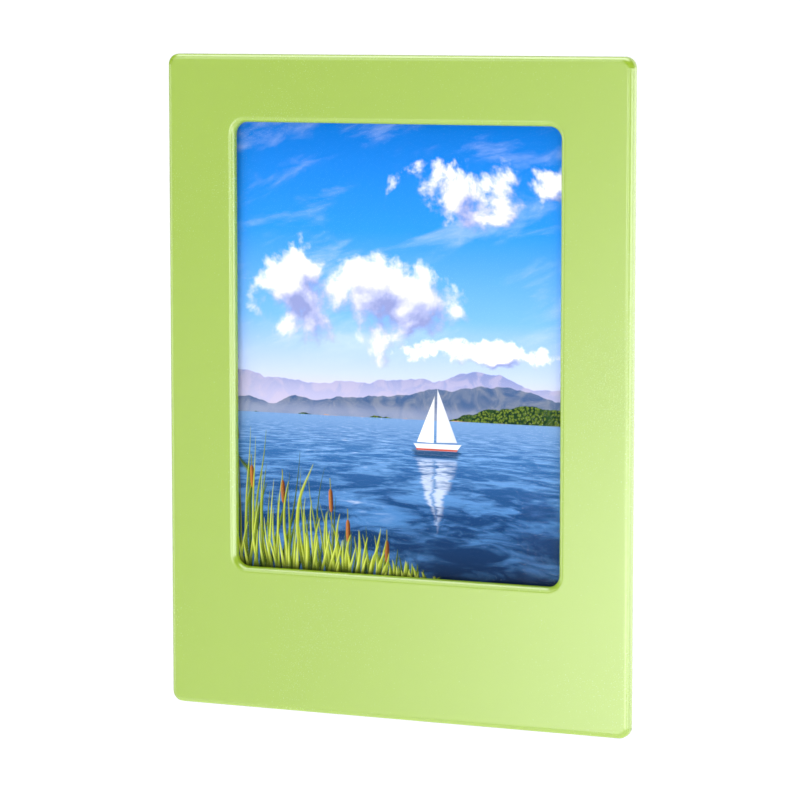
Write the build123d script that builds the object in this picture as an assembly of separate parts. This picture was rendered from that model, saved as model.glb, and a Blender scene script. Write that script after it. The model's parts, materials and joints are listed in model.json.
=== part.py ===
from build123d import *
import os

# Magnetic frame for one card-sized print. A thin panel with a window lies over a shallow tray that holds the
# print. Magnets in the tray's rear hold the frame to a steel surface and pull the panel's four steel discs.
#
# Millimetres. X runs across the frame and Z up it. Y = 0 is the rear face, and the panel looks along -Y.
# A depth is a distance forward of the rear face.

# ---- Print and its backing card ----
print_width = 54.0
print_height = 86.0
print_thickness = 0.28
print_corner_radius = 1.0
print_above_window = 7.1  # what the panel covers of the print over the window
card_thickness = 0.4
card_trim = 0.5  # how far the card stays inside the print's edge, except at its foot
card_play = 0.04  # running clearance behind the card

# ---- Front panel ----
panel_width = 68.0
panel_height = 91.0
panel_thickness = 1.8
panel_corner_radius = 1.5
panel_edge_round = 0.8
panel_rear_round = 0.2

# ---- Window ----
window_width = 47.8
window_height = 61.8
window_top_border = 9.3
window_corner_radius = 1.7
window_edge_round = 0.8

# ---- Clear pane and the tape ring that bonds it ----
pane_thickness = 0.5
pane_lap = 1.5  # how far the pane reaches past the window's edge
pane_clearance = 0.15
tape_thickness = 0.15
tape_setback = 0.4  # from the window's edge to the tape

# ---- Tray at the back ----
tray_inset = 1.6  # how far the panel overhangs the tray all round
tray_floor = 2.2
tray_corner_radius = 1.2
tray_rear_chamfer = 0.25
pocket_depth = 0.8  # space for the card and the print
pocket_side_clearance = 0.2
mouth_flare = 1.0  # how much the pocket widens each side at its mouth
mouth_flare_height = 2.5

# ---- Openings for the fingers ----
thumb_opening_width = 16.0
thumb_opening_height = 26.0
thumb_opening_centre_z = -17.0
thumb_opening_round = 0.5
notch_width = 18.0
notch_depth = 6.0
notch_corner_radius = 3.0

# ---- Magnets in the tray and steel discs in the panel ----
magnet_diameter = 6.0
magnet_thickness = 1.5
magnet_chamfer = 0.2
magnet_recess = 0.1  # from the tray's rear face in to the magnet
magnet_edge_wall = 0.9  # plastic left between a magnet and the tray's side
keeper_diameter = 5.0
keeper_thickness = 0.8
keeper_edge_round = 0.15
disc_clearance = 0.1  # radial, round each disc in its seat

# ---- Grip pads beside the magnets ----
pad_width = 12.0
pad_height = 5.0
pad_thickness = 0.4
pad_corner_radius = 1.5
pad_clearance = 0.1
pad_gap = 2.5  # from a magnet's edge to its pad

# ---- Locating pins ----
pin_diameter = 2.2
pin_length = 1.6
pin_tip_chamfer = 0.3
pin_clearance = 0.08  # radial, in the socket
pin_end_clearance = 0.2
pin_spacing_z = 36.0

# ---- What follows from them ----
tray_width = panel_width - 2 * tray_inset
tray_height = panel_height - 2 * tray_inset
tray_depth = tray_floor + pocket_depth

window_top_z = panel_height / 2 - window_top_border
window_centre_z = window_top_z - window_height / 2

print_top_z = window_top_z + print_above_window
print_foot_z = print_top_z - print_height
print_centre_z = print_top_z - print_height / 2
card_start = tray_floor + card_play
print_start = card_start + card_thickness

pane_width = window_width + 2 * pane_lap
pane_height = window_height + 2 * pane_lap
pane_corner_radius = window_corner_radius + pane_lap
tape_start = tray_depth + pane_thickness

pocket_width = print_width + 2 * pocket_side_clearance
magnet_x = tray_width / 2 - magnet_edge_wall - magnet_diameter / 2
magnet_z = tray_height / 2 - magnet_edge_wall - magnet_diameter / 2
pad_x = magnet_x - magnet_diameter / 2 - pad_gap - pad_width / 2
pin_x = (pocket_width + tray_width) / 4
socket_depth = pin_length + pin_end_clearance

corners = {"top_left": (-1, 1), "top_right": (1, 1), "bottom_left": (-1, -1), "bottom_right": (1, -1)}
pin_places = [(x, z) for x in (-pin_x, pin_x) for z in (-pin_spacing_z / 2, pin_spacing_z / 2)]


def raised(outline, start, thickness):
    """An outline drawn across the frame, made solid from depth start forward."""
    return extrude(Plane.XZ.offset(start) * outline, amount=thickness)


def plate(width, height, corner_radius, start, thickness, centre_z=0.0):
    """A flat plate with round corners."""
    return raised(Pos(0, centre_z) * RectangleRounded(width, height, corner_radius), start, thickness)


def disc(diameter, place, start, thickness):
    """A round disc, or the cutter for its seat, at a place (x, z)."""
    return raised(Pos(*place) * Circle(diameter / 2), start, thickness)


def magnet_place(corner):
    """The (x, z) of a corner's magnet and of the steel disc in front of it."""
    side, level = corners[corner]
    return side * magnet_x, level * magnet_z


def pad_place(corner):
    """The (x, z) of the grip pad beside a corner's magnet."""
    side, level = corners[corner]
    return side * pad_x, level * magnet_z


def front_face(solid):
    """The flat face that looks along -Y."""
    return solid.faces().sort_by(Axis.Y)[0]


def rear_face(solid):
    """The flat face that looks along +Y."""
    return solid.faces().sort_by(Axis.Y)[-1]


def locating_pin(place):
    """A pin on the panel's rear, with a lead-in at its tip."""
    pin = disc(pin_diameter, place, tray_depth - pin_length, pin_length)
    return chamfer(rear_face(pin).edges(), pin_tip_chamfer)


def front_panel():
    """The coloured panel: round edges, the window, the pane's rebate, the discs' seats and the pins."""
    panel = plate(panel_width, panel_height, panel_corner_radius, tray_depth, panel_thickness)
    panel -= plate(
        window_width, window_height, window_corner_radius, tray_depth, panel_thickness, window_centre_z
    )
    panel = fillet(front_face(panel).outer_wire().edges(), panel_edge_round)
    panel = fillet(front_face(panel).inner_wires()[0].edges(), window_edge_round)
    panel = fillet(rear_face(panel).outer_wire().edges(), panel_rear_round)
    panel -= plate(
        pane_width + 2 * pane_clearance,
        pane_height + 2 * pane_clearance,
        pane_corner_radius + pane_clearance,
        tray_depth,
        pane_thickness + tape_thickness,
        window_centre_z,
    )
    for corner in corners:
        panel -= disc(
            keeper_diameter + 2 * disc_clearance, magnet_place(corner), tray_depth, keeper_thickness
        )
    for place in pin_places:
        panel += locating_pin(place)
    return panel


def window_pane():
    """The clear sheet in the rebate, flush with the panel's rear."""
    return plate(pane_width, pane_height, pane_corner_radius, tray_depth, pane_thickness, window_centre_z)


def pane_tape():
    """The die-cut ring of tape between the pane and the panel's lip."""
    ring = plate(pane_width, pane_height, pane_corner_radius, tape_start, tape_thickness, window_centre_z)
    hole = plate(
        window_width + 2 * tape_setback,
        window_height + 2 * tape_setback,
        window_corner_radius + tape_setback,
        tape_start,
        tape_thickness,
        window_centre_z,
    )
    return ring - hole


def keeper_disc(corner):
    """A stamped steel disc in the panel's rear, which the corner's magnet pulls. Its outer edge is rounded."""
    keeper = disc(keeper_diameter, magnet_place(corner), tray_depth, keeper_thickness)
    return fillet(rear_face(keeper).edges(), keeper_edge_round)


def print_pocket():
    """The space for the card and the print, from the foot rail out through a flared mouth in the top edge."""
    half = pocket_width / 2
    top_z = tray_height / 2
    right_side = [(half, print_foot_z), (half, top_z - mouth_flare_height), (half + mouth_flare, top_z)]
    left_side = [(-x, z) for x, z in reversed(right_side)]
    return raised(Polygon(right_side + left_side, align=None), tray_floor, pocket_depth)


def pad_shape(corner, clearance=0.0):
    """A grip pad flush with the tray's rear face or, with a clearance, the cutter for its seat."""
    x, z = pad_place(corner)
    outline = RectangleRounded(
        pad_width + 2 * clearance, pad_height + 2 * clearance, pad_corner_radius + clearance
    )
    return raised(Pos(x, z) * outline, 0, pad_thickness)


def back_tray():
    """The tray: the print's pocket, the thumb opening, the top notch, and the seats in its rear and its rails."""
    tray = plate(tray_width, tray_height, tray_corner_radius, 0, tray_depth)
    tray = chamfer(rear_face(tray).edges(), tray_rear_chamfer)
    opening = SlotOverall(thumb_opening_height, thumb_opening_width, rotation=90)
    tray -= raised(Pos(0, thumb_opening_centre_z) * opening, 0, tray_floor)
    tray = fillet(rear_face(tray).inner_wires()[0].edges(), thumb_opening_round)
    tray -= print_pocket()
    tray -= plate(notch_width, 2 * notch_depth, notch_corner_radius, 0, tray_floor, tray_height / 2)
    for corner in corners:
        tray -= disc(
            magnet_diameter + 2 * disc_clearance, magnet_place(corner), 0, magnet_recess + magnet_thickness
        )
        tray -= pad_shape(corner, pad_clearance)
    for place in pin_places:
        tray -= disc(pin_diameter + 2 * pin_clearance, place, tray_depth - socket_depth, socket_depth)
    return tray


def magnet(corner):
    """A plated disc magnet on the floor of its seat in the tray's rear."""
    plain = disc(magnet_diameter, magnet_place(corner), magnet_recess, magnet_thickness)
    return chamfer(plain.edges().filter_by(GeomType.CIRCLE), magnet_chamfer)


def photo_print():
    """The print, with its foot on the tray's foot rail."""
    return plate(
        print_width, print_height, print_corner_radius, print_start, print_thickness, print_centre_z
    )


def backing_card():
    """The stiff card behind the print, trimmed a little inside it, with its foot on the same rail."""
    height = print_height - card_trim
    return plate(
        print_width - 2 * card_trim,
        height,
        print_corner_radius,
        card_start,
        card_thickness,
        print_foot_z + height / 2,
    )


pieces = {
    "front_panel": front_panel(),
    "window_pane": window_pane(),
    "pane_tape": pane_tape(),
    "photo_print": photo_print(),
    "backing_card": backing_card(),
    "back_tray": back_tray(),
}
for corner_name in corners:
    pieces["keeper_disc_" + corner_name] = keeper_disc(corner_name)
    pieces["magnet_" + corner_name] = magnet(corner_name)
    pieces["grip_pad_" + corner_name] = pad_shape(corner_name)

os.makedirs("parts", exist_ok=True)
for name, solid in pieces.items():
    export_step(solid, "parts/" + name + ".step")
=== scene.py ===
import json
import math

import bpy
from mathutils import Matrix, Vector


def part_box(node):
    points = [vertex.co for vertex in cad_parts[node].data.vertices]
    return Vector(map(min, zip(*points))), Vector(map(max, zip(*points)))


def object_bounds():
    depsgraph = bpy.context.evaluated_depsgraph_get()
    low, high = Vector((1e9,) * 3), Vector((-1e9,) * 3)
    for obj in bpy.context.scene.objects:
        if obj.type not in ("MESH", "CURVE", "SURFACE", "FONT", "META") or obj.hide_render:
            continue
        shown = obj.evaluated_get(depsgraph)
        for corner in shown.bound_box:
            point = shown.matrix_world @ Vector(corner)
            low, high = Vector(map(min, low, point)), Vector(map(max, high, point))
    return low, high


# Looks of the magnetic frame: a satin lime panel over a spark-textured tray, and a small landscape print
# behind a clear pane. Metres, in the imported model's own frame: X across, Z up, and the panel looks along -Y.

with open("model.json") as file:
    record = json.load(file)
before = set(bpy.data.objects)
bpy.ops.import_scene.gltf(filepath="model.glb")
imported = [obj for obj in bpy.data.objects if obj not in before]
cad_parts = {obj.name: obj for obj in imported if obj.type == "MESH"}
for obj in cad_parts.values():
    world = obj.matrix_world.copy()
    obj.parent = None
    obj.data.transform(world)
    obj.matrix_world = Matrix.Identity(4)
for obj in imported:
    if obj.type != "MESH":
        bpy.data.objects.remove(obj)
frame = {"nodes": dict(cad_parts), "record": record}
cad_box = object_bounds()

MM = 0.001

# ---- Camera, from a fit on the edges of the panel and of its window ----
camera_azimuth = math.radians(22.76)  # from the panel's front round towards +X
camera_elevation = math.radians(6.61)
camera_distance = 475.6 * MM
camera_lens = 157.5  # on a sensor 36 wide
camera_sensor = 36.0
camera_aim = Vector((0.96, -4.8, -1.14)) * MM  # on the panel's face

# ---- Studio ----
floor_drop = 300 * MM  # from the frame's foot down to the floor
floor_reach = 60.0  # half the floor's side
studio_front = 0.2  # the surround's level in front of the panel, which its satin face mirrors
studio_backdrop = 1.1  # the level behind it, a little over white
studio_ceiling = 3.5  # what the ceiling adds
# Soft boxes: name, azimuth and elevation in degrees, distance, width and height in metres, and radiance.
lamps = [
    ("front_lamp", -5, -7, 0.75, 0.17, 0.3, 4.2),
    ("near_front_lamp", -13, -15, 0.65, 0.14, 0.18, 2.8),
    ("near_right_lamp", 40, -16, 0.25, 0.16, 0.08, 3.8),
    ("right_fill_lamp", 24, -4, 0.8, 0.36, 0.26, 2.5),
    ("side_lamp", 84, -6, 0.8, 0.6, 0.28, 4.1),
    ("rear_side_lamp", 127, -6, 0.8, 0.5, 0.24, 2.1),
    ("rim_lamp", 157, -5, 0.9, 0.4, 0.3, 1.2),
    ("left_lamp", -66, -6, 0.8, 0.5, 0.3, 1.5),
    ("upper_lamp", -30, 31, 0.8, 0.4, 0.56, 2.0),
    ("top_lamp", -75, 68, 0.8, 0.4, 0.4, 1.8),
]


def direction(azimuth, elevation):
    """The unit vector from the frame towards an azimuth, counted from -Y to +X, and an elevation."""
    level = math.cos(elevation)
    return Vector((math.sin(azimuth) * level, -math.cos(azimuth) * level, math.sin(elevation)))


def aim(obj, point):
    """Turns a camera or a lamp, which look along their own -Z, towards a point."""
    obj.rotation_euler = (point - obj.location).to_track_quat("-Z", "Y").to_euler()


def put_in_scene(name, data):
    """A new object in the scene that holds this mesh, lamp or camera."""
    obj = bpy.data.objects.new(name, data)
    bpy.context.scene.collection.objects.link(obj)
    return obj


# ---- Shader nodes as expressions ----
def is_vector(value):
    """Whether a value in an expression is a vector: a tuple, or a node's vector output."""
    if isinstance(value, Wire):
        return value.socket.type == "VECTOR"
    return isinstance(value, tuple)


class Wire:
    """A node's output in an expression. Each operator adds the node that works it out."""

    def __init__(self, finish, socket):
        self.finish = finish
        self.socket = socket

    def math(self, operation, *others):
        """A Math node, or a Vector Math node on vectors, with this output as its first value."""
        values = (self, *others)
        kind = "VectorMath" if any(map(is_vector, values)) else "Math"
        return self.finish.add(kind, {"operation": operation}, dict(enumerate(values)))

    def reflected(self, operation, first):
        """A Math node with this output as its second value."""
        return self.finish.add("Math", {"operation": operation}, {0: first, 1: self})

    def __add__(self, other):
        return self.math("ADD", other)

    __radd__ = __add__

    def __sub__(self, other):
        return self.math("SUBTRACT", other)

    def __rsub__(self, other):
        return self.reflected("SUBTRACT", other)

    def __mul__(self, other):
        return self.math("MULTIPLY", other)

    __rmul__ = __mul__

    def __truediv__(self, other):
        return self.math("DIVIDE", other)

    def __rtruediv__(self, other):
        return self.reflected("DIVIDE", other)

    def __pow__(self, other):
        return self.math("POWER", other)

    def __abs__(self):
        return self.math("ABSOLUTE")

    def least(self, other):
        """The smaller of the two."""
        return self.math("MINIMUM", other)

    def most(self, other):
        """The larger of the two."""
        return self.math("MAXIMUM", other)

    def rise(self, low, high):
        """0 up to low, 1 from high on and a smooth rise between. With low over high it falls instead."""
        steps = {"interpolation_type": "SMOOTHSTEP"}
        return self.finish.add("MapRange", steps, {"Value": self, "From Min": low, "From Max": high})

    def ramp(self, stops):
        """A colour for each value, from (value, colour) stops."""
        return self.finish.add("ValToRGB", {"stops": stops}, {"Fac": self})

    def parts(self):
        """A vector's X, Y and Z."""
        return [self.finish.add("SeparateXYZ", {}, {"Vector": self}, output) for output in range(3)]

    def channels(self):
        """A colour's red, green and blue."""
        return [self.finish.add("SeparateColor", {}, {"Color": self}, output) for output in range(3)]


class Finish:
    """A material, or the surround, in the making. Every node comes from add()."""

    def __init__(self, name, store=bpy.data.materials):
        self.data = store.new(name + "_finish")
        self.data.use_nodes = True
        self.tree = self.data.node_tree
        self.tree.nodes.clear()

    def add(self, kind, settings, sockets, output=0):
        """A node with its settings, then the value or the link of each socket, given by name or by number."""
        node = self.tree.nodes.new("ShaderNode" + kind)
        for name, value in settings.items():
            if name == "stops":
                self.set_stops(node.color_ramp.elements, value)
            else:
                setattr(node, name, value)
        for key, value in sockets.items():
            if isinstance(value, Wire):
                self.tree.links.new(value.socket, node.inputs[key])
            else:
                node.inputs[key].default_value = value
        return Wire(self, node.outputs[output] if node.outputs else None)

    @staticmethod
    def set_stops(elements, stops):
        """Gives a ramp its (value, colour) stops."""
        while len(elements) < len(stops):
            elements.new(1.0)
        for element, (position, colour) in zip(elements, stops):
            element.position = position
            element.color = colour

    def place(self):
        """Where a point of the piece is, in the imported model's frame."""
        return self.add("TexCoord", {}, {}, "Object")

    def place_round(self):
        """The direction a surround is seen in."""
        return self.add("TexCoord", {}, {}, "Generated")

    def vector(self, x, y, z=0.0):
        """A vector from its parts."""
        return self.add("CombineXYZ", {}, {"X": x, "Y": y, "Z": z})

    def mix(self, share, under, over, blend="MIX"):
        """One colour laid over another by a share."""
        settings = {"data_type": "RGBA", "blend_type": blend}
        return self.add("Mix", settings, {0: share, 6: under, 7: over}, 2)

    def noise(self, place, scale, detail=0.0, roughness=0.5, distortion=0.0, dimensions="3D"):
        """Smooth noise from 0 to 1."""
        sockets = {
            "Vector": place,
            "Scale": scale,
            "Detail": detail,
            "Roughness": roughness,
            "Distortion": distortion,
        }
        return self.add("TexNoise", {"noise_dimensions": dimensions}, sockets)

    def cells(self, place, scale, output="Distance", dimensions="3D"):
        """Voronoi cells: the distance to the nearest cell's middle, or its random colour."""
        sockets = {"Vector": place, "Scale": scale}
        return self.add("TexVoronoi", {"voronoi_dimensions": dimensions}, sockets, output)

    def stands(self, along, randomness):
        """One stem in each unit along a line: its three random numbers and where it stands."""
        line = {"voronoi_dimensions": "1D"}
        sockets = {"W": along, "Scale": 1.0, "Randomness": randomness}
        numbers = self.add("TexVoronoi", line, sockets, "Color").channels()
        return numbers, self.add("TexVoronoi", line, sockets, "W")

    def bump(self, height, depth, strength=1.0):
        """A normal tilted by a height from 0 to 1 of this depth."""
        return self.add("Bump", {}, {"Height": height, "Distance": depth, "Strength": strength})

    def surface(self, sockets):
        """The material with a Principled surface of these values."""
        shader = self.add("BsdfPrincipled", {}, sockets)
        return self.done(shader)

    def done(self, shader, kind="OutputMaterial"):
        """The material, or the surround, with this shader as its output."""
        self.add(kind, {}, {"Surface": shader})
        return self.data


def linear(level):
    """A screen level from 0 to 255 as a linear one from 0 to 1."""
    share = level / 255
    return share / 12.92 if share <= 0.04045 else ((share + 0.055) / 1.055) ** 2.4


def ink(red, green, blue):
    """A colour in screen levels, as a shader's colour."""
    return (linear(red), linear(green), linear(blue), 1.0)


# ---- The landscape on the print ----
# Its measure is the picture's height. Across runs from the picture's middle and up from its foot.
pane_lap = 1.5 * MM  # how far the pane and its tape reach past the window's edge
picture_margin = 0.4 * MM  # how far the picture goes on past the window's edge
tape_low, tape_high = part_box("pane_tape")
inwards = Vector((1, 0, 1)) * (pane_lap - picture_margin)
picture_low = tape_low + inwards
picture_high = tape_high - inwards
picture_height = picture_high.z - picture_low.z
paper_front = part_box("photo_print")[0].y

horizon = 0.37
shore_line = 0.352  # the near edge of the far shore, just under the horizon
foam_step = (-0.012, 0.018)  # towards the sun, as far as a puff of cloud shades the next
body_step = (-0.03, 0.05)  # towards the sun, over a cloud's whole body
cloud_banks = [  # middle, half size, scale of the noise and its seed
    ((-0.17, 0.62), (0.27, 0.14), 5.0, 3.1),
    ((0.2, 0.86), (0.22, 0.075), 6.5, 8.7),
    ((0.2, 0.50), (0.21, 0.03), 11.0, 1.9),
]


def landscape_sky(up):
    """Deep blue overhead, paler towards the horizon and lilac at it."""
    height = (up - horizon) / (1 - horizon)
    return height.ramp(
        [
            (0.0, ink(226, 206, 220)),
            (0.12, ink(190, 204, 240)),
            (0.32, ink(116, 178, 243)),
            (0.62, ink(44, 144, 234)),
            (1.0, ink(0, 110, 206)),
        ]
    )


def below(line, up, edge=0.001):
    """Cover of what lies below a line, with a soft edge."""
    return (line - up).rise(-edge, edge)


def cloud_bank(finish, spot, bank, detail=11.0, step=(0.0, 0.0)):
    """How thick a bank of cloud is a step away from a spot: ragged noise inside an oval."""
    (x, y), (width, height), scale, seed = bank
    place = spot + (*step, 0.0)
    across, up, _ = place.parts()
    oval = ((across - x) / width) ** 2 + ((up - y) / height) ** 2
    ragged = finish.noise(place + (seed, seed, 0.0), scale, detail, 0.58, 0.15, "2D")
    return ragged * 1.5 - 0.56 - oval * 0.25


def landscape_clouds(finish, spot, across, up, picture):
    """Cumulus over the hills on the left and puffs high on the right, with thin streaks between them."""
    drawn_out = finish.vector(across * 2.0 + up * 1.2, up * 7.0 - across * 2.4)
    streaks = finish.noise(drawn_out, 1.5, 9.0, 0.62, 0.25, "2D").rise(0.48, 0.85)
    picture = finish.mix(streaks * up.rise(0.4, 0.55) * 0.5, picture, ink(214, 222, 246))
    for bank in cloud_banks:
        here = cloud_bank(finish, spot, bank)
        body = cloud_bank(finish, spot, bank, detail=2.0)
        foam_light = (here - cloud_bank(finish, spot, bank, step=foam_step)) * 1.5
        body_light = (body - cloud_bank(finish, spot, bank, detail=2.0, step=body_step)) * 1.6
        lit = foam_light + body_light + 0.36 - body.rise(0.05, 0.5) * 0.12
        colour = lit.ramp(
            [
                (0.0, ink(140, 150, 200)),
                (0.25, ink(178, 184, 222)),
                (0.5, ink(222, 222, 242)),
                (0.75, ink(252, 248, 246)),
            ]
        )
        picture = finish.mix(here.rise(0.0, 0.2), picture, colour)
    return picture


def ridge(finish, across, foot, height, scale, seed, detail=5.0):
    """The height of a ridge line over the picture's width."""
    along = finish.vector(across + seed, seed)
    return finish.noise(along, scale, detail, 0.5, 0.0, "2D") * height + foot


def landscape_hills(finish, spot, across, up, picture):
    """Two hazy ranges, a wooded point on the right and the pale beach at its foot, laid over the sky."""
    far = ridge(finish, across, foot=0.355, height=0.17, scale=3.2, seed=4.4)
    slopes = finish.noise(spot + (2.0, 5.0, 0.0), 22.0, 6.0, 0.6, 0.6, "2D")
    haze = (up - horizon).rise(0.0, 0.1)
    far_colour = finish.mix(haze, ink(186, 184, 216), ink(128, 142, 192))
    far_colour = finish.mix(slopes.rise(0.42, 0.62) * 0.35, far_colour, ink(206, 192, 210))
    picture = finish.mix(below(far, up, 0.0012), picture, far_colour)

    near = ridge(finish, across, foot=0.345, height=0.1, scale=4.6, seed=9.3)
    near = near + across.rise(-0.4, 0.45) * 0.025
    near_colour = finish.mix(slopes.rise(0.35, 0.65), ink(70, 96, 138), ink(118, 128, 150))
    near_colour = finish.mix((up - 0.36).rise(0.03, 0.0) * 0.6, near_colour, ink(150, 160, 190))
    picture = finish.mix(below(near, up), picture, near_colour)

    crowns = finish.cells(spot + (slopes - 0.5) * 0.02, 150.0, "Distance", "2D")
    wood = ridge(finish, across, foot=0.338, height=0.06, scale=9.0, seed=2.2, detail=8.0)
    wood = wood + across.rise(0.02, 0.36) * 0.045 - 0.022
    wood_colour = finish.mix(crowns.rise(0.05, 0.6), ink(112, 134, 44), ink(24, 50, 34))
    wood_colour = finish.mix(slopes.rise(0.5, 0.62) * 0.6, wood_colour, ink(46, 74, 40))
    picture = finish.mix(below(wood, up), picture, wood_colour)

    beach = ridge(finish, across, foot=0.3385, height=0.022, scale=12.0, seed=6.6)
    sand = finish.mix(slopes, ink(226, 176, 128), ink(176, 132, 100))
    return finish.mix(below(beach, up, 0.0008), picture, sand)


def landscape_lake(finish, across, up):
    """Blue water in perspective, with ripples that grow and darken towards the foot.

    It gives the water's cover, its colour and its ripple.
    """
    depth = (shore_line - up).most(0.004)
    away = 0.11 / depth
    water = finish.vector(across * away * 9.0, away * 9.0)
    swell = finish.noise(water, 1.0, 4.0, 0.55, 0.35, "2D")
    chop = finish.noise(water + (7.3, 1.7, 0.0), 3.4, 5.0, 0.6, 0.6, "2D")
    ripple = swell * 0.62 + chop * 0.38
    near = depth / shore_line
    deep = near.ramp(
        [
            (0.0, ink(92, 136, 190)),
            (0.22, ink(54, 104, 162)),
            (0.55, ink(26, 66, 116)),
            (1.0, ink(12, 34, 66)),
        ]
    )
    bright = near.ramp(
        [
            (0.0, ink(142, 176, 218)),
            (0.25, ink(104, 152, 206)),
            (0.6, ink(76, 128, 186)),
            (1.0, ink(62, 104, 152)),
        ]
    )
    crests = ripple.rise(0.42, 0.62) * near.rise(-0.02, 0.1) + near.rise(0.1, -0.02) * 0.4
    colour = finish.mix(crests, deep, bright)
    glint = ripple.rise(0.6, 0.72) * near.rise(1.0, 0.1) * abs(across + 0.12).rise(0.16, 0.0)
    colour = finish.mix(glint * 0.8, colour, ink(236, 240, 250))
    return below(shore_line, up, 0.0006), colour, ripple


def facet(across, up, corners, edge=0.0012):
    """Cover of a convex shape, from its corners taken anticlockwise."""
    inside = None
    for (x0, y0), (x1, y1) in zip(corners, corners[1:] + corners[:1]):
        length = math.hypot(x1 - x0, y1 - y0)
        side = up * ((x1 - x0) / length) - across * ((y1 - y0) / length)
        side = side + ((y1 - y0) * x0 - (x1 - x0) * y0) / length
        inside = side if inside is None else inside.least(side)
    return inside.rise(-edge, edge)


boat_place = (0.085, 0.292)
mainsail = [(0.004, 0.012), (0.052, 0.013), (0.006, 0.128)]
jib = [(-0.042, 0.012), (-0.003, 0.011), (-0.001, 0.112)]
hull = [(-0.04, -0.006), (0.05, -0.006), (0.062, 0.009), (-0.05, 0.008)]
hull_stripe = [(-0.042, -0.006), (0.051, -0.006), (0.054, -0.002), (-0.045, -0.002)]
hull_shadow = [(-0.05, -0.022), (0.056, -0.022), (0.056, -0.004), (-0.05, -0.004)]


def sails(across, up, edge=0.0012):
    """Cover of the boat's two sails."""
    return facet(across, up, mainsail, edge).most(facet(across, up, jib, edge))


def landscape_boat(finish, across, up, ripple, picture):
    """A small white sailing boat and its broken reflection."""
    x, y = boat_place
    across, up = across - x, up - y
    mirrored_up = (-0.012 - up) * 0.8
    swayed = across + (ripple - 0.5) * 0.06
    mirrored = sails(swayed, mirrored_up, 0.006) * ripple.rise(0.36, 0.6) * 0.7
    picture = finish.mix(mirrored, picture, ink(214, 222, 240))
    picture = finish.mix(facet(swayed, up, hull_shadow, 0.005) * 0.7, picture, ink(20, 40, 70))
    picture = finish.mix(facet(across, up, hull), picture, ink(236, 238, 244))
    picture = finish.mix(facet(across, up, hull_stripe), picture, ink(186, 66, 44))
    shade = (across * 14.0 + up * 2.0).rise(-0.4, 0.9)
    sail = finish.mix(shade, ink(255, 252, 246), ink(206, 212, 232))
    return finish.mix(sails(across, up), picture, sail)


# Layers of reeds, the farthest first: how many to the picture's height, height, seed, and the greens of their
# shade, their blade and their sunlit side.
reeds_behind_heads = [
    (58.0, 0.33, 1.3, ((34, 58, 26), (56, 80, 32), (98, 120, 44))),
    (50.0, 0.37, 2.9, ((54, 80, 22), (92, 114, 32), (156, 174, 58))),
]
reeds_before_heads = [
    (44.0, 0.33, 4.7, ((84, 108, 22), (134, 152, 34), (200, 210, 86))),
    (52.0, 0.25, 7.1, ((98, 124, 22), (150, 168, 40), (214, 224, 100))),
    (60.0, 0.15, 9.4, ((112, 138, 26), (166, 182, 48), (224, 232, 116))),
]


def reed_layer(finish, across, up, layer, picture):
    """A layer of reed blades: one to each random cell along the bank, with its own height and lean."""
    crowd, height, seed, (dark, light, sunlit) = layer
    breeze = finish.vector(across * 4.0 + seed, up * 2.0 + seed)
    sway = finish.noise(breeze, 1.0, 1.0, dimensions="2D") - 0.5
    along = (across + sway * up * 0.9) * crowd + seed * crowd
    (tall, tint, lean), middle = finish.stands(along, 0.9)
    stand = middle / crowd - seed
    top = stand.rise(0.16, -0.4) * height * (tall * 0.65 + 0.35)
    share = (up / top.most(0.001)).least(1.0)
    off = along - middle - (lean - 0.5) * share ** 2 * 1.1
    half_width = (1 - share ** 1.5) * 0.19 + 0.014
    blade = (half_width - abs(off)).rise(-0.05, 0.05) * (top - up).rise(0.0, 0.006)
    lit = (off / half_width).rise(0.9, -0.9)
    colour = finish.mix(tint, ink(*dark), ink(*light))
    colour = finish.mix(lit * share.rise(0.0, 0.4) * 0.8, colour, ink(*sunlit))
    colour = finish.mix(share.rise(0.4, 0.0) * 0.75, colour, ink(20, 38, 18))
    return finish.mix(blade, picture, colour)


def reed_heads(finish, across, up, picture):
    """A few brown seed heads on stems that stand out of the reeds."""
    crowd, seed, head_half_width = 13.0, 5.2, 0.0052
    along = (across + up * up * 0.12) * crowd + seed * crowd
    (tall, tint, _), middle = finish.stands(along, 0.7)
    stand = middle / crowd - seed
    top = stand.rise(0.1, -0.4) * 0.3 * (tall * 0.4 + 0.6) + 0.05
    shown = stand.rise(0.02, -0.02)
    off = (along - middle) / crowd
    stem = (0.0012 - abs(off)).rise(-0.0006, 0.0006) * (top + 0.02 - up).rise(0.0, 0.001) * shown
    picture = finish.mix(stem, picture, ink(118, 128, 52))
    around = off / head_half_width
    oval = around ** 2 + ((up - top + 0.03) / 0.026) ** 4
    head = oval.rise(1.15, 0.85) * shown
    colour = finish.mix(around.rise(0.8, -0.8), ink(74, 40, 24), ink(186, 118, 58))
    return finish.mix(head, picture, finish.mix(tint * 0.3, colour, ink(54, 34, 24)))


def landscape_reeds(finish, across, up, picture):
    """Yellow-green reeds on the near bank, tallest on the left, with seed heads among them."""
    for layer in reeds_behind_heads:
        picture = reed_layer(finish, across, up, layer, picture)
    picture = reed_heads(finish, across, up, picture)
    for layer in reeds_before_heads:
        picture = reed_layer(finish, across, up, layer, picture)
    return picture


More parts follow.
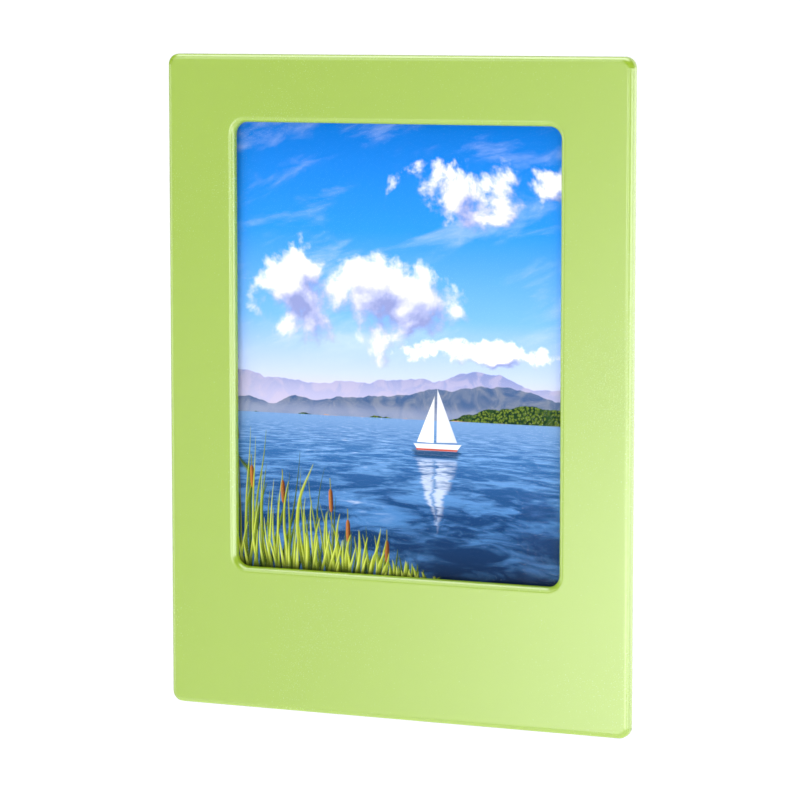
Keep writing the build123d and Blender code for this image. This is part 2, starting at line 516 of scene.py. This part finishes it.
def print_paper():
    """Coated paper: the landscape within white borders in front, and a plain matt back."""
    finish = Finish("print_paper")
    place = finish.place()
    x, y, z = place.parts()
    across = x / picture_height
    up = (z - picture_low.z) / picture_height
    spot = finish.vector(across, up)
    picture = landscape_sky(up)
    picture = landscape_clouds(finish, spot, across, up, picture)
    picture = landscape_hills(finish, spot, across, up, picture)
    cover, lake, ripple = landscape_lake(finish, across, up)
    picture = finish.mix(cover, picture, lake)
    picture = landscape_boat(finish, across, up, ripple, picture)
    picture = landscape_reeds(finish, across, up, picture)

    fibres = finish.noise(place * (1.0, 1.0, 0.4), 2600, 4.0, 0.6)
    coated = (y - paper_front).rise(0.04 * MM, 0.02 * MM)
    white = finish.mix(fibres, (0.82, 0.82, 0.8, 1), (0.87, 0.87, 0.86, 1))
    back = finish.mix(fibres.rise(0.3, 0.7), (0.74, 0.735, 0.71, 1), (0.83, 0.825, 0.81, 1))
    inside = (picture_high.x - abs(x)).least(z - picture_low.z).least(picture_high.z - z)
    printed = finish.mix(inside.rise(-0.02 * MM, 0.02 * MM), white, picture)
    return finish.surface(
        {
            "Base Color": finish.mix(coated, back, printed),
            "Roughness": 0.62 - coated * 0.24,
            "Specular IOR Level": 0.03,
            "Normal": finish.bump(fibres * (1.0 - coated * 0.8), 0.006 * MM),
        }
    )


def satin_lime():
    """Satin lime plastic with an even fine grain."""
    finish = Finish("lime_panel")
    place = finish.place()
    grain = finish.noise(place, 5200, 2.0, 0.5)
    cloud = finish.noise(place, 45, 3.0, 0.5)
    tint = grain.rise(0.2, 0.8) * 0.75 + cloud * 0.25
    return finish.surface(
        {
            "Base Color": finish.mix(tint, (0.244, 0.386, 0.008, 1), (0.255, 0.401, 0.01, 1)),
            "Roughness": 0.255 + grain * 0.02 + cloud * 0.01,
            "IOR": 1.65,
            "Specular IOR Level": 1.0,
            "Normal": finish.bump(grain, 0.004 * MM, 0.12),
        }
    )


def sparked_lime():
    """The tray's lime plastic, a little duller and with the coarser spark texture of a hidden face."""
    finish = Finish("lime_tray")
    place = finish.place()
    pits = finish.noise(place, 2100, 4.0, 0.7)
    cloud = finish.noise(place, 60, 3.0, 0.5)
    tint = pits.rise(0.3, 0.7) * 0.7 + cloud * 0.3
    return finish.surface(
        {
            "Base Color": finish.mix(tint, (0.27, 0.415, 0.024, 1), (0.32, 0.486, 0.032, 1)),
            "Roughness": 0.44 + pits * 0.2,
            "Specular IOR Level": 0.6,
            "Normal": finish.bump(pits, 0.04 * MM, 0.6),
        }
    )


def clear_sheet():
    """Clear polished plastic with faint smears, all but unseen from the front and glossier at a slant."""
    finish = Finish("clear_pane")
    place = finish.place()
    smears = finish.noise(place * (1.0, 1.0, 0.35), 90, 5.0, 0.6, 1.2)
    slant = finish.add("LayerWeight", {}, {"Blend": 0.5}, "Facing")
    gloss = finish.add("BsdfGlossy", {}, {"Color": (1, 1, 1, 1), "Roughness": 0.015 + smears * 0.03})
    clear = finish.add("BsdfTransparent", {}, {"Color": (1, 1, 1, 1)})
    share = slant ** 4 * 0.6 + smears * 0.0012 + 0.0006
    return finish.done(finish.add("MixShader", {}, {0: share, 1: clear, 2: gloss}))


def film_tape():
    """Milky double-sided film tape with fine streaks in its adhesive."""
    finish = Finish("pane_tape")
    place = finish.place()
    streaks = finish.noise(place * (3.0, 1.0, 0.5), 700, 4.0, 0.6)
    return finish.surface(
        {
            "Base Color": finish.mix(streaks, (0.74, 0.75, 0.73, 1), (0.86, 0.87, 0.85, 1)),
            "Roughness": 0.35 + streaks * 0.2,
            "Alpha": 0.6,
        }
    )


def grey_board():
    """Uncoated grey board: a felt of short fibres with darker and paler flecks."""
    finish = Finish("grey_card")
    place = finish.place()
    felt = finish.noise(place * (1.0, 1.0, 0.35), 1700, 5.0, 0.65, 0.8)
    cloud = finish.noise(place, 160, 4.0, 0.6)
    fleck = finish.cells(place * (1.0, 1.0, 0.5), 1500)
    fibres = finish.noise(place * (1.0, 1.0, 0.25) + (0.0, 0.0, 3.0), 3400, 2.0, 0.5, 1.6).rise(0.6, 0.7)
    shade = felt.rise(0.3, 0.7) * 0.6 + cloud * 0.4
    colour = finish.mix(shade, (0.2, 0.19, 0.17, 1), (0.32, 0.305, 0.275, 1))
    colour = finish.mix(fleck.rise(0.14, 0.07) * 0.5, colour, (0.1, 0.09, 0.08, 1))
    colour = finish.mix(fibres * 0.4, colour, (0.45, 0.43, 0.39, 1))
    return finish.surface(
        {
            "Base Color": colour,
            "Roughness": 0.85 + felt * 0.1,
            "Specular IOR Level": 0.3,
            "Normal": finish.bump(felt, 0.03 * MM, 0.6),
        }
    )


def zinc_plate():
    """Zinc-plated stamped steel: a faint spangle, and fine scratches from handling."""
    finish = Finish("steel_disc")
    place = finish.place()
    spangle = finish.cells(place, 1400, "Color").channels()[0]
    scratches = finish.noise(place * (9.0, 1.0, 0.6), 500, 3.0, 0.6, 0.4)
    scored = scratches.rise(0.56, 0.7)
    colour = finish.mix(spangle, (0.5, 0.52, 0.54, 1), (0.64, 0.65, 0.67, 1))
    return finish.surface(
        {
            "Base Color": finish.mix(scored * 0.4, colour, (0.74, 0.74, 0.74, 1)),
            "Metallic": 1.0,
            "Roughness": 0.24 + spangle * 0.1 + scored * 0.12,
            "Normal": finish.bump(spangle * 0.4 + scored, 0.004 * MM, 0.5),
        }
    )


def nickel_plate():
    """Bright nickel plating with hairline scratches and a slight haze."""
    finish = Finish("plated_magnet")
    place = finish.place()
    hairs = finish.noise(place * (14.0, 1.0, 3.0), 420, 3.0, 0.6, 0.3).rise(0.6, 0.72)
    haze = finish.noise(place, 380, 4.0, 0.55)
    colour = finish.mix(haze, (0.52, 0.49, 0.45, 1), (0.66, 0.63, 0.58, 1))
    return finish.surface(
        {
            "Base Color": colour,
            "Metallic": 1.0,
            "Roughness": 0.1 + haze * 0.14 + hairs * 0.16,
            "Normal": finish.bump(haze * 0.5 + hairs, 0.003 * MM, 0.4),
        }
    )


def dark_rubber():
    """Solid dark rubber with a fine cloth-like texture and a trace of dust."""
    finish = Finish("grip_pad")
    place = finish.place()
    x, _, z = place.parts()
    weave_pitch = 9000  # radians to a metre
    weave = (x * weave_pitch).math("SINE") * (z * weave_pitch).math("SINE") * 0.5 + 0.5
    dust = finish.noise(place, 900, 4.0, 0.6)
    colour = finish.mix(weave, (0.017, 0.017, 0.018, 1), (0.034, 0.034, 0.036, 1))
    return finish.surface(
        {
            "Base Color": finish.mix(dust.rise(0.55, 0.8) * 0.35, colour, (0.12, 0.12, 0.12, 1)),
            "Roughness": 0.6 + dust * 0.2,
            "Specular IOR Level": 0.4,
            "Normal": finish.bump(weave + dust * 0.5, 0.03 * MM, 0.6),
        }
    )


def pale_floor():
    """The studio's matt white floor."""
    finish = Finish("pale_floor")
    shade = finish.noise(finish.place(), 3, 3.0, 0.5)
    colour = finish.mix(shade, (0.88, 0.88, 0.88, 1), (0.9, 0.9, 0.9, 1))
    return finish.surface({"Base Color": colour, "Roughness": 0.9})


def lay_floor():
    """A wide pale floor well below the frame, which hangs by its magnets."""
    low = cad_box[0].z - floor_drop
    sides = [(-1, -1), (1, -1), (1, 1), (-1, 1)]
    corners = [(x * floor_reach, y * floor_reach, low) for x, y in sides]
    mesh = bpy.data.meshes.new("floor")
    mesh.from_pydata(corners, [], [range(len(corners))])
    floor = put_in_scene("floor", mesh)
    mesh.materials.append(pale_floor())


def hang_lamp(name, azimuth, elevation, distance, width, height, radiance):
    """A soft box turned to the frame. A radiance of 1 is white."""
    lamp = bpy.data.lights.new(name, "AREA")
    lamp.shape = "RECTANGLE"
    lamp.size = width
    lamp.size_y = height
    lamp.energy = radiance * math.pi * width * height
    obj = put_in_scene(name, lamp)
    obj.location = direction(math.radians(azimuth), math.radians(elevation)) * distance
    aim(obj, Vector((0, 0, 0)))
    obj.visible_camera = False


def surround():
    """The studio round the frame: dim in front, with a white backdrop and a bright ceiling."""
    finish = Finish("studio", bpy.data.worlds)
    _, y, z = finish.place_round().parts()
    backdrop = y.rise(0.5, 0.85) * (studio_backdrop - studio_front)
    level = backdrop + z.rise(0.75, 0.97) * studio_ceiling + studio_front
    glow = finish.add("Background", {}, {"Color": (1, 1, 1, 1), "Strength": level})
    return finish.done(glow, "OutputWorld")


def light_studio():
    """The surround and the soft boxes."""
    bpy.context.scene.view_settings.view_transform = "Standard"
    bpy.context.scene.world = surround()
    for lamp in lamps:
        hang_lamp(*lamp)


def place_camera():
    """The camera at the photograph's viewing angle."""
    camera = bpy.data.cameras.new("camera")
    camera.lens = camera_lens
    camera.sensor_width = camera_sensor
    camera.clip_start = 10 * MM
    camera.clip_end = 4 * floor_reach
    obj = put_in_scene("camera", camera)
    obj.location = camera_aim + direction(camera_azimuth, camera_elevation) * camera_distance
    aim(obj, camera_aim)
    bpy.context.scene.camera = obj


finishes = {
    "lime_panel": satin_lime(),
    "lime_tray": sparked_lime(),
    "clear_pane": clear_sheet(),
    "pane_tape": film_tape(),
    "print_paper": print_paper(),
    "grey_card": grey_board(),
    "steel_disc": zinc_plate(),
    "plated_magnet": nickel_plate(),
    "grip_pad": dark_rubber(),
}

place_camera()
lay_floor()
light_studio()
for part in frame["record"]["subparts"]:
    node = frame["nodes"][part["node"]]
    node.data.materials.clear()
    node.data.materials.append(finishes[part["material_slot"]])
